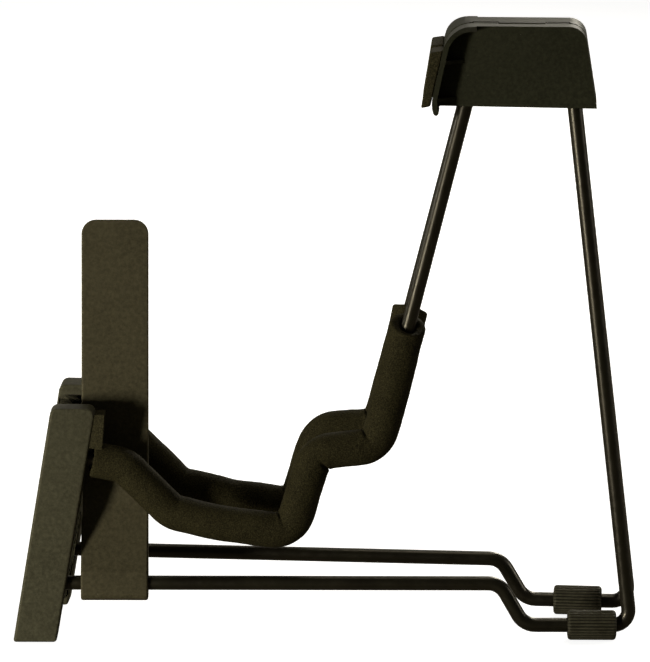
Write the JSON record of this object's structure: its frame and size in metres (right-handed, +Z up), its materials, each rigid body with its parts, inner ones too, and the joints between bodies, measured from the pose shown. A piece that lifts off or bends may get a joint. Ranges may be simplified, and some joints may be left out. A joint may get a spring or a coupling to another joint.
{
  "type": "folding guitar stand",
  "caption": "Folding A-frame guitar stand: two bent steel rod frames with foam sleeves, hinged at a plastic head, with a swing-down spreader plate.",
  "frame": {"origin": "on the floor, under the middle of the stand's own bounding box", "axes": "+X towards the rear of the stand, along the hinge pin; +Y to the stand's right; +Z up"},
  "size_m": [0.3447, 0.0884, 0.343],
  "materials": {
    "black_steel": "semi-gloss black paint",
    "sleeve_foam": "open-grained foam skin",
    "pad_foam": "cut foam",
    "black_plastic": "matt, finely grained",
    "housing_plastic": "matt, finely grained, darker than the feet",
    "plate_plastic": "matt, finely grained",
    "black_rubber": "matt moulded rubber",
    "zinc_steel": "zinc plated",
    "white_nylon": "smooth nylon"
  },
  "bodies": {
    "left_side": {"left_rod_frame": "black_steel", "left_foam_sleeve": "sleeve_foam", "left_front_foot": "black_plastic", "left_front_pad": "pad_foam", "left_rod_strap": "black_plastic", "left_strap_screws": "zinc_steel", "left_rear_foot": "black_rubber", "left_housing": "housing_plastic", "left_back_pad": "pad_foam", "left_socket_pins": "zinc_steel", "hinge_pin": "zinc_steel", "pin_cap": "zinc_steel", "hinge_washers": "white_nylon"},
    "right_side": {"right_rod_frame": "black_steel", "right_foam_sleeve": "sleeve_foam", "right_front_foot": "black_plastic", "right_front_pad": "pad_foam", "right_rod_strap": "black_plastic", "right_strap_screws": "zinc_steel", "right_rear_foot": "black_rubber", "right_housing": "housing_plastic", "right_back_pad": "pad_foam", "right_socket_pins": "zinc_steel"},
    "spreader": {"spreader_plate": "plate_plastic"}
  },
  "joints": [
    {"name": "frame_fold", "type": "hinge", "parent": "left_side", "child": "right_side", "pos_m": [0.1039, 0, 0.3386], "axis": [1, 0, 0], "range_deg": [-5, 23]},
    {"name": "spreader_swing", "type": "hinge", "parent": "left_side", "child": "spreader", "pos_m": [-0.11576, -0.03235, 0.0319], "axis": [-0.9993, -0.0384, 0], "range_deg": [0, 3]}
  ]
}
